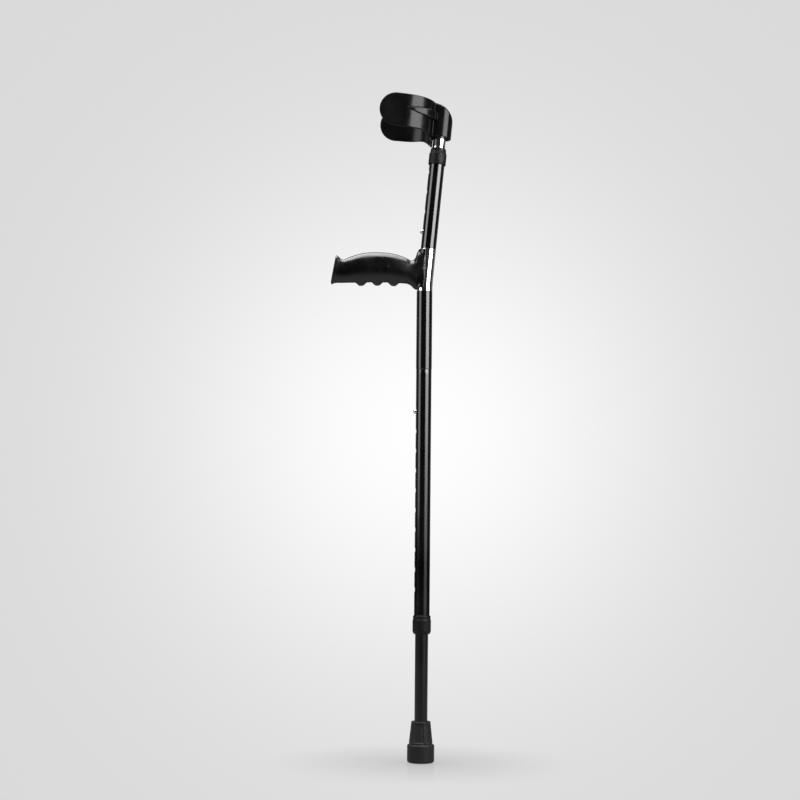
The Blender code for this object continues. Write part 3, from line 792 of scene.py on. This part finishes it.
def strip_along(path, thickness, width):
    """A strip of spring steel along (x, z) points, with slightly rounded long edges."""
    t, w, c = thickness / 2, width / 2, thickness / 6
    near = [(-w, c - t), (c - w, -t), (w - c, -t), (w, c - t)]
    section = near + [(-y, -off) for y, off in near]
    path = np.array(path)
    along = np.gradient(path, axis=0)
    along /= np.linalg.norm(along, axis=1)[:, None]
    points, count = [], len(section)
    for (x, z), (dx, dz) in zip(path, along):
        points += [(x - dz * off, y, z + dx * off) for y, off in section]
    faces = [tuple(range(count))[::-1], tuple(range(len(points) - count, len(points)))]
    for row in range(len(path) - 1):
        a, b = row * count, (row + 1) * count
        for i in range(count):
            j = (i + 1) % count
            faces.append((a + i, a + j, b + j, b + i))
    return np.array(points), faces


def build_springs():
    """V springs: a front leaf at its button, folded round to a back leaf on the tube's wall."""
    for node, button, local, run in (
        ("leg_button_spring", "leg_button", LOWER, -1),
        ("cuff_button_spring", "cuff_button", UPPER, 1),
    ):
        far = span(node, local)[1 if run > 0 else 0]
        fold = far - run * (FOLD_R + SPRING_THICK / 2)
        middle = centre_height(button, local)
        angles = np.linspace(pi, 0, 15) * run
        bend = [(FOLD_X + FOLD_R * cos(a), fold + FOLD_R * sin(a)) for a in angles]
        front = [(FRONT_LEAF_X, middle + run * along) for along in (-FRONT_LEAF_HALF, FRONT_LEAF_HALF)]
        back = [(BACK_LEAF_X, middle + run * along) for along in BACK_LEAF_RUN]
        shape = strip_along(eased([*front, *bend, *back], 5.0, 4, False), SPRING_THICK, SPRING_WIDTH)
        held = [local @ Vector((x * MM, 0, middle * MM)) for x in (STILL_X, MOVED_X)]
        piece(node, shape, "spring_steel", local, 50, (body_with(button), *held))


def build_rivets():
    dome = [
        (0.0, 13.9), (1.1, 13.88), (1.6, 13.78), (1.85, 13.6), (1.9, 13.4), (1.25, 13.4), (1.25, 11.6),
        (0.0, 11.6),
    ]
    for node, turn in (("saddle_rivet_near", pi / 2), ("saddle_rivet_far", -pi / 2)):
        piece(node, lathe(dome, 32), "dull_steel", facing(RIVET_X, RIVET_Z, turn, "X"))
    wide = [
        (0.0, 14.4), (1.2, 14.3), (2.2, 14.0), (3.1, 13.5), (3.55, 12.95), (3.55, 12.7), (1.7, 12.7),
        (1.7, 7.0), (0.0, 7.0),
    ]
    for node in CUFF_RIVETS:
        height = centre_height(node, UPPER)
        piece(node, lathe(wide, 40), "plated_steel", UPPER @ facing(0, height, -pi / 2))


# --- hand grip ---


GRIP_AXIS_Z = float(cad_points("grip_washer")[:, 2].mean())
RIVET_POINTS = cad_points("saddle_rivet_near")
RIVET_X, RIVET_Z = ((RIVET_POINTS.min(0) + RIVET_POINTS.max(0)) / 2)[[0, 2]]
GRIP_TOP = smooth_curve([
    (-128.5, 716.2), (-126.6, 715.2), (-124.6, 714.2), (-121.2, 711.0), (-117.7, 709.0), (-109.0, 712.6),
    (-92.0, 718.2), (-67.3, 720.3), (-43.0, 718.0), (-26.0, 712.4), (-18.4, 708.9), (-15.2, 710.9),
    (-12.8, 715.0), (-11.2, 720.0), (-7.0, 723.5),
])
GRIP_BASE = smooth_curve([
    (-136.0, 673.4), (-134.0, 674.2), (-131.5, 675.8), (-127.0, 677.0), (-122.0, 677.1), (-30.0, 677.1),
    (-25.0, 676.6), (-21.0, 674.9), (-17.8, 672.2), (-15.4, 669.8), (-13.8, 668.8), (-10.0, 668.4),
])
GRIP_WIDTH = smooth_curve([
    (-128.0, 14.6), (-126.0, 14.7), (-124.0, 14.5), (-120.5, 14.1), (-116.0, 14.0), (-100.0, 15.0),
    (-67.3, 16.2), (-35.0, 14.8), (-18.4, 13.2), (-8.0, 13.4), (-2.0, 13.6),
])
RIDGES = (-91.1, -67.9, -44.7)
RIDGE_DEPTH, RIDGE_HALF, RIDGE_FLAT = 6.3, 8.8, 1.8
# The flared end: where it starts and over what length, and the point and slope of its flat face
FLARE_X, FLARE_RUN, FLARE_LEAN = -112, 8, 0.18
END_X, END_Z, END_NORMAL = -127.2, 714.6, (-0.984, 0.178)
# The cross-section's powers: 2 is an ellipse, and more is squarer
CROWN_POWER, END_POWER, BASE_POWER = 2.6, 1.2, 1.8
SADDLE_R, SADDLE_MIDDLE_S, SADDLE_HALF = 13.6, 23.65, 28.25
SADDLE_TAPER, TAPER_FROM, TAPER_OVER = 1.2, 56, 34
SADDLE_EDGE_X, SADDLE_EDGE_TILT = -0.4, radians(2.5)
EAR_R, EAR_Y, RIVET_BORE_R = 2.9, 12.6, 1.5
SADDLE_BORE_R, CORE_BORE_R, CAP_BORE_R = 11.45, 6.3, 8.6
CORE_MIDDLE_X, CORE_HALF, CAP_BORE_X = -59.6, 59.8, -118.5


def ridge_depth(x):
    """How far the finger ridges reach down at x: flat-topped, with straight flanks and rounded corners."""
    depth = np.zeros_like(x)
    for middle in RIDGES:
        rise = np.clip((RIDGE_HALF - np.abs(x - middle)) / (RIDGE_HALF - RIDGE_FLAT), 0, 1)
        depth = np.maximum(depth, RIDGE_DEPTH * (0.35 * rise + 0.65 * smooth(rise)))
    return depth


def upper_coordinates(p):
    """Row frame points in the upper tube's frame, in millimetres."""
    x, z = p[:, 0], p[:, 2] - BEND_Z
    c, s = cos(BEND_ANGLE), sin(BEND_ANGLE)
    return x * c - z * s, p[:, 1], x * s + z * c


def grip_field(p):
    x, y, z = p[:, 0], p[:, 1], p[:, 2]
    top, base = GRIP_TOP(x), GRIP_BASE(x)
    middle = (top + base) / 2
    half = np.where(z > middle, top - middle, middle - base + RIDGE_DEPTH)
    lean = np.clip((FLARE_X - x) / FLARE_RUN, 0, 1) * FLARE_LEAN * (END_Z - z)
    width = GRIP_WIDTH(x + lean)
    dz = z - middle
    crown = CROWN_POWER + END_POWER * np.clip((-108 - x) / 10, 0, 1)
    power = np.where(z > middle, crown, BASE_POWER)
    oval = ((np.abs(dz) / half) ** power + (np.abs(y) / width) ** power + 1e-9) ** (1 / power)
    body = np.hypot(dz, y) * (1 - 1 / np.maximum(oval, 0.02))
    body = common(body, (base - ridge_depth(x) - z) * 0.85, 0.7)
    end_face = (x - END_X) * END_NORMAL[0] + (z - END_Z) * END_NORMAL[1]
    body = common(body, end_face, 1.6)
    body = np.maximum(body, x + 1.5)
    # The saddle wraps the front of the bracket, and thins towards its rear edges.
    ux, uy, us = upper_coordinates(p)
    around = np.hypot(ux, uy)
    aside = np.clip((np.degrees(np.arctan2(np.abs(uy), -ux)) - TAPER_FROM) / TAPER_OVER, 0, 1)
    skin = around - SADDLE_R + SADDLE_TAPER * smooth(aside)
    saddle = common(skin, np.abs(us - SADDLE_MIDDLE_S) - SADDLE_HALF, 1.6)
    edge = (x - SADDLE_EDGE_X) * cos(SADDLE_EDGE_TILT) - (z - RIVET_Z) * sin(SADDLE_EDGE_TILT)
    saddle = common(saddle, edge, 0.3)
    from_rivet = np.hypot(x - RIVET_X, z - RIVET_Z)
    ear = common(from_rivet - EAR_R, np.abs(y) - EAR_Y, 0.7)
    solid = joined(joined(body, saddle, 3.0), ear, 1.0)
    # Bores for the bracket, the core bar, the end cap and the rivets
    axis = np.where(us > 0, around, np.hypot(x, y))
    solid = without(solid, axis - SADDLE_BORE_R, 0.4)
    across = np.hypot(y, z - GRIP_AXIS_Z)
    core = np.maximum(across - CORE_BORE_R, np.abs(x - CORE_MIDDLE_X) - CORE_HALF)
    solid = np.maximum(solid, -core)
    solid = without(solid, np.maximum(across - CAP_BORE_R, x - CAP_BORE_X), 0.6)
    return np.maximum(solid, RIVET_BORE_R - from_rivet)


MARGIN = 2.0


def build_grip():
    low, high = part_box("hand_grip")
    bounds = [v / MM - MARGIN for v in low], [v / MM + MARGIN for v in high]
    piece("hand_grip", solid_of(grip_field, *bounds, 0.75), "grip_plastic", sharp=50)
    cap = [
        (0.0, -127.2), (6.6, -127.2), (6.6, -124.4), (8.3, -124.4), (8.3, -128.0), (7.9, -128.7),
        (7.2, -129.0), (5.6, -129.0), (5.2, -128.7), (0.0, -128.5),
    ]
    along_x = Matrix.Translation((0, 0, GRIP_AXIS_Z * MM)) @ Matrix.Rotation(pi / 2, 4, "Y")
    piece("grip_end_cap", lathe(eased(cap, 0.3, 2, False), 64), "grip_plastic", along_x)


# --- arm cuff ---


ARM_X, ARM_R, WALL = -55.6, 43.2, 2.8
MIDDLE_R = ARM_R + WALL / 2
TURN = radians(86)  # how far the wall runs round the arm before it goes straight
CUFF_LOW, CUFF_HIGH = 217.0, 265.0
CUFF_TIP_X = -89.2
SOCKET_R, SOCKET_LOW = 16.4, 215.5
BORE_R, BORE_TOP = 9.4, span("cuff_tube", UPPER)[1] + 0.3
WEB_END, WEB_LIFT, WEB_FLARE = 86, 0.5, 0.125
CREASE_MIDDLE, CREASE_HALF_ANGLE = 62, 22
CREASE_HALF, CREASE_DEPTH = 0.65, 0.55
CUFF_RIVETS = ("cuff_rivet_lower", "cuff_rivet_upper")
RIVET_HOLE_R, RIVET_HOLE_X = 2.0, (-16, -6)
# Heights of the wall's lower edge and the web's edges, by degrees round the arm from the tube
LOWER_EDGE = smooth_curve([
    (0, 201.5), (7, 203.5), (18, 206.4), (31, 211.8), (43, 215.8), (52, 217.0), (70, 217.0),
])
WEB_LOW = smooth_curve([(0, 238.5), (45, 238.6), (64, 240.4), (86, 246.0)])
WEB_HIGH = smooth_curve([(0, 250.0), (49, 249.0), (73, 246.9), (86, 246.2)])


def cuff_field(p):
    x, y, s = p[:, 0], np.abs(p[:, 1]), p[:, 2]
    out = np.hypot(x - ARM_X, y)
    angle = np.arctan2(y, x - ARM_X)
    degrees = np.degrees(angle)
    arm = (x - ARM_X) * cos(TURN) + y * sin(TURN) - MIDDLE_R
    path = np.where(angle <= TURN, out - MIDDLE_R, arm)
    middle, half = (CUFF_LOW + CUFF_HIGH) / 2, (CUFF_HIGH - CUFF_LOW) / 2
    centre = CUFF_TIP_X + half
    round_end = np.hypot(np.minimum(x - centre, 0), s - middle) - half
    band = np.where(x < centre, round_end, np.maximum(s - CUFF_HIGH, (LOWER_EDGE(degrees) - s) * 0.9))
    wall = common(np.abs(path) - WALL / 2, band, 1.2)
    around = np.hypot(x, y)
    dome = ((x + 12.9) / 29.4) ** 2 + (np.maximum(s - 237.7, 0) / 28.6) ** 2 + (y / 34) ** 2
    dome = np.sqrt(dome) * 29 - 29
    socket = common(common(around - SOCKET_R, dome, 0.7), SOCKET_LOW - s, 0.7)
    solid = joined(wall, socket, 1.0)
    # A raised web grows out of the wall towards the socket, with a crease along its upper edge.
    high, outer_r = WEB_HIGH(degrees), ARM_R + WALL
    rise = WEB_LIFT * np.clip((WEB_END - degrees) / 8, 0, 1)
    rise = rise + WEB_FLARE * outer_r * np.radians(np.clip(78 - degrees, 0, 50))
    web = common(out - ARM_R - WALL - rise, np.maximum(s - high, WEB_LOW(degrees) - s), 0.3)
    web = np.maximum(web, degrees - WEB_END)
    solid = joined(solid, np.maximum(web, ARM_R + 0.5 - out), 0.35)
    crease = np.maximum(np.abs(s - high) - CREASE_HALF, outer_r - CREASE_DEPTH - out)
    crease = np.maximum(crease, np.abs(degrees - CREASE_MIDDLE) - CREASE_HALF_ANGLE)
    solid = without(solid, crease, 0.3)
    solid = np.where(angle <= TURN, without(solid, out - ARM_R, 0.5), solid)
    solid = without(solid, np.maximum(around - BORE_R, s - BORE_TOP), 0.4)
    front, back = RIVET_HOLE_X
    for node in CUFF_RIVETS:
        across = np.hypot(y, s - centre_height(node, UPPER))
        bore = np.maximum(across - RIVET_HOLE_R, np.maximum(x - back, front - x))
        solid = np.maximum(solid, -bore)
    return solid


def build_cuff():
    points = cad_points("cuff_shell", UPPER)
    shape = solid_of(cuff_field, points.min(0) - MARGIN, points.max(0) + MARGIN, 0.8)
    piece("cuff_shell", shape, "cuff_plastic", UPPER, 50)


# --- CAD pieces that stay ---


STEEL_PIECES = "handle_core", "grip_screw", "grip_washer", "tip_washer"
NYLON_PIECES = "leg_lock_bush", "cuff_lock_bush", "leg_guide_plug", "cuff_guide_plug"


def soften(mesh, limit=radians(35)):
    """Gives a mesh of separate triangles smooth shading across its shallow edges."""
    keys = [tuple(round(v * 1e6) for v in vertex.co) for vertex in mesh.vertices]
    places = {}
    for polygon in mesh.polygons:
        for vertex in polygon.vertices:
            places.setdefault(keys[vertex], []).append(polygon)
    normals = []
    for polygon in mesh.polygons:
        for vertex in polygon.vertices:
            total = Vector()
            for other in places[keys[vertex]]:
                if polygon.normal.angle(other.normal, 0.0) < limit:
                    total += other.normal * other.area
            normals.append(total.normalized())
    mesh.shade_smooth()
    mesh.normals_split_custom_set(normals)


def finish_cad_pieces():
    for nodes, finish in ((STEEL_PIECES, "plated_steel"), (NYLON_PIECES, "bush_nylon")):
        for node in nodes:
            mesh = frame["nodes"][node].data
            mesh.materials.clear()
            mesh.materials.append(FINISHES[finish])
            soften(mesh)


# --- floor, lights and camera ---


EYE = Vector((-0.0336364, -2.3, 0.3110902))
PITCH, ROLL = radians(4.9), radians(0.5586)
FOCAL_MM, SENSOR_MM = 72.9, 36.0
BACKDROP_DARK, BACKDROP_LIGHT = 0.70, 0.99
GLOW_DIRECTION = Vector((0.012, 1.0, 0.068)).normalized()
GLOW_WIDTH = 0.153


def camera():
    forward = Vector((0, cos(PITCH), sin(PITCH)))
    level = Vector((0, -sin(PITCH), cos(PITCH)))
    right = cos(ROLL) * Vector((1, 0, 0)) + sin(ROLL) * level
    up = cos(ROLL) * level - sin(ROLL) * Vector((1, 0, 0))
    data = bpy.data.cameras.new("camera")
    data.lens, data.sensor_width = FOCAL_MM, SENSOR_MM
    obj = bpy.data.objects.new("camera", data)
    obj.matrix_world = Matrix.Translation(EYE) @ Matrix((right, up, -forward)).transposed().to_4x4()
    bpy.context.scene.collection.objects.link(obj)
    bpy.context.scene.camera = obj


def calculate(tree, operation, *inputs, kind="ShaderNodeMath"):
    return add_node(tree, kind, dict(enumerate(inputs)), operation=operation).outputs


def mixed(tree, share, low, high):
    """A value between low and high. Inputs 0, 2 and 3 are the node's factor and its two numbers."""
    return add_node(tree, "ShaderNodeMix", {0: share, 2: low, 3: high}).outputs[0]


def glow(tree, direction):
    """The backdrop's brightness along a direction: a soft pale glow in the middle of a light grey."""
    vector = "ShaderNodeVectorMath"
    unit = calculate(tree, "NORMALIZE", direction, kind=vector)[0]
    apart = calculate(tree, "DISTANCE", unit, tuple(GLOW_DIRECTION), kind=vector)["Value"]
    share = calculate(tree, "DIVIDE", apart, GLOW_WIDTH)[0]
    square = calculate(tree, "POWER", share, 2.0)[0]
    bright = calculate(tree, "EXPONENT", calculate(tree, "MULTIPLY", square, -1.0)[0])[0]
    return calculate(tree, "MULTIPLY_ADD", bright, BACKDROP_LIGHT - BACKDROP_DARK, BACKDROP_DARK)[0]


def world():
    """A pale studio: the eye sees the backdrop, diffuse surfaces an even fill, gloss a dim room."""
    room_dark, room_light, fill = 0.025, 0.22, 0.55
    made = bpy.data.worlds.new("studio")
    bpy.context.scene.world = made
    made.use_nodes = True
    tree = made.node_tree
    tree.nodes.clear()
    coords = add_node(tree, "ShaderNodeTexCoord").outputs["Generated"]
    path = add_node(tree, "ShaderNodeLightPath").outputs
    backwards = add_node(tree, "ShaderNodeSeparateXYZ", {0: coords}).outputs[1]
    room = ranged(tree, backwards, room_dark, room_light, 0.1, 0.95, "SMOOTHSTEP")
    lit = mixed(tree, path["Is Diffuse Ray"], room, fill)
    seen = mixed(tree, path["Is Camera Ray"], lit, glow(tree, coords))
    shade = add_node(tree, "ShaderNodeBackground", {"Color": (1, 1, 1, 1), "Strength": seen})
    add_node(tree, "ShaderNodeOutputWorld", {0: shade.outputs[0]})


FLOOR_HALF, FLOOR_DROP = 60.0, 0.0004
# Painted contact shadow: its reach in metres, and the share of the floor's glow left at the tip
CONTACT_REACH, CONTACT_SHADE = 0.05, 0.72
SHEEN_REACH, SHEEN, SHEEN_ROUGHNESS = 0.24, 0.27, 0.16


def floor_material():
    """Pale glowing ground that matches the backdrop, with a faint sheen, a painted contact shadow at the
    tip, and a painted pool of light round the crutch that only reflections and diffuse rays meet.
    """
    material = bpy.data.materials.new("studio_floor")
    material.use_nodes = True
    tree = material.node_tree
    tree.nodes.clear()
    vector = "ShaderNodeVectorMath"
    place = add_node(tree, "ShaderNodeNewGeometry").outputs["Position"]
    near = calculate(tree, "LENGTH", place, kind=vector)["Value"]
    depth = add_node(tree, "ShaderNodeSeparateXYZ", {0: place}).outputs[1]
    # Painted contact shadow: ambient occlusion darkens the floor's glow near the tip
    contact = add_node(tree, "ShaderNodeAmbientOcclusion", {"Distance": CONTACT_REACH})
    soft = ranged(tree, contact.outputs["AO"], CONTACT_SHADE, 1.0, 0.0, 1.0)
    away = calculate(tree, "SUBTRACT", place, tuple(EYE), kind=vector)[0]
    strength = calculate(tree, "MULTIPLY", glow(tree, away), soft)[0]
    # Painted pool of light: what glossy pieces and diffuse rays meet is a glow painted on the floor,
    # bright round the crutch and darker far off
    lit = ranged(tree, depth, 0.0, 0.55, -1.8, -0.7, "SMOOTHSTEP")
    behind = ranged(tree, depth, 1.0, 0.4, 0.2, 1.0, "SMOOTHSTEP")
    lit = calculate(tree, "MULTIPLY", lit, behind)[0]
    far = ranged(tree, near, 1.0, 0.0, 1.7, 3.0, "SMOOTHSTEP")
    lit = calculate(tree, "MULTIPLY", lit, far)[0]
    to_eye = add_node(tree, "ShaderNodeLightPath").outputs["Is Camera Ray"]
    pale = add_node(tree, "ShaderNodeEmission", {"Strength": mixed(tree, to_eye, lit, strength)})
    sheen = add_node(
        tree, "ShaderNodeBsdfGlossy", {"Roughness": SHEEN_ROUGHNESS, "Color": (1, 1, 1, 1)}
    )
    fade = ranged(tree, near, SHEEN, 0.0, 0.0, SHEEN_REACH, "SMOOTHSTEP")
    mix = add_node(tree, "ShaderNodeMixShader", {0: fade, 1: pale.outputs[0], 2: sheen.outputs[0]})
    add_node(tree, "ShaderNodeOutputMaterial", {0: mix.outputs[0]})
    return material


def floor():
    mesh = bpy.data.meshes.new("floor")
    size = FLOOR_HALF
    corners = [(-size, -size, 0), (size, -size, 0), (size, size, 0), (-size, size, 0)]
    mesh.from_pydata(corners, [], [(0, 1, 2, 3)])
    mesh.materials.append(floor_material())
    obj = bpy.data.objects.new("floor", mesh)
    bpy.context.scene.collection.objects.link(obj)
    obj.location.z = -FLOOR_DROP
    return obj


def softbox(name, azimuth, distance, width, low, high, radiance, dim=None):
    """An upright strip light. Azimuth is in degrees from -Y towards +X, round the crutch."""
    turn = radians(azimuth)
    place = Vector((sin(turn), -cos(turn), 0)) * distance + Vector((0, 0, (low + high) / 2))
    aim = Vector((0, 0, place.z)) - place
    panel(name, place, aim, width, high - low, radiance, dim)


def panel(name, place, aim, width, height, radiance, dim=None):
    """A rectangular light. dim gives (height, share) at two heights between which its brightness runs."""
    data = bpy.data.lights.new(name, "AREA")
    data.shape = "RECTANGLE"
    data.size, data.size_y = width, height
    data.energy = radiance * width * height * pi
    if dim is not None:
        data.use_nodes = True
        tree = data.node_tree
        place_on_it = add_node(tree, "ShaderNodeNewGeometry").outputs["Position"]
        up = add_node(tree, "ShaderNodeSeparateXYZ", {0: place_on_it}).outputs[2]
        (start, low), (end, high) = dim
        share = ranged(tree, up, low, high, start, end)
        tree.links.new(share, tree.nodes["Emission"].inputs["Strength"])
    obj = bpy.data.objects.new(name, data)
    bpy.context.scene.collection.objects.link(obj)
    obj.location = place
    obj.rotation_mode = "QUATERNION"
    obj.rotation_quaternion = Vector(aim).to_track_quat("-Z", "Y")
    obj.visible_camera = False
    obj.visible_diffuse = False


def lights(ground):
    """Two tall softboxes and a top panel. The floor doesn't mirror them."""
    unlit = bpy.data.collections.new("not_lit")
    unlit.objects.link(ground)
    unlit.collection_objects[0].light_linking.link_state = "EXCLUDE"
    softbox(
        "right_strip", azimuth=50, distance=1.5, width=1.2, low=0.0, high=1.8, radiance=9.0,
        dim=((0.24, 0.055), (1.1, 1.0)),
    )
    softbox(
        "left_strip", azimuth=-66, distance=1.5, width=0.86, low=0.36, high=1.8, radiance=3.4,
        dim=((0.40, 0.45), (1.1, 1.0)),
    )
    downward = Vector((0, 0.001, -1))  # a hair off straight down, so that its turn is well defined
    panel("overhead", Vector((-0.2, 0.0, 2.2)), downward, 1.7, 1.7, 9.8)
    for obj in bpy.context.scene.objects:
        if obj.type == "LIGHT":
            obj.light_linking.receiver_collection = unlit


bpy.context.scene.view_settings.view_transform = "Standard"
camera()
world()
lights(floor())
build_tubes()
build_bracket()
build_tip()
build_nuts()
build_buttons()
build_springs()
build_rivets()
build_grip()
build_cuff()
finish_cad_pieces()
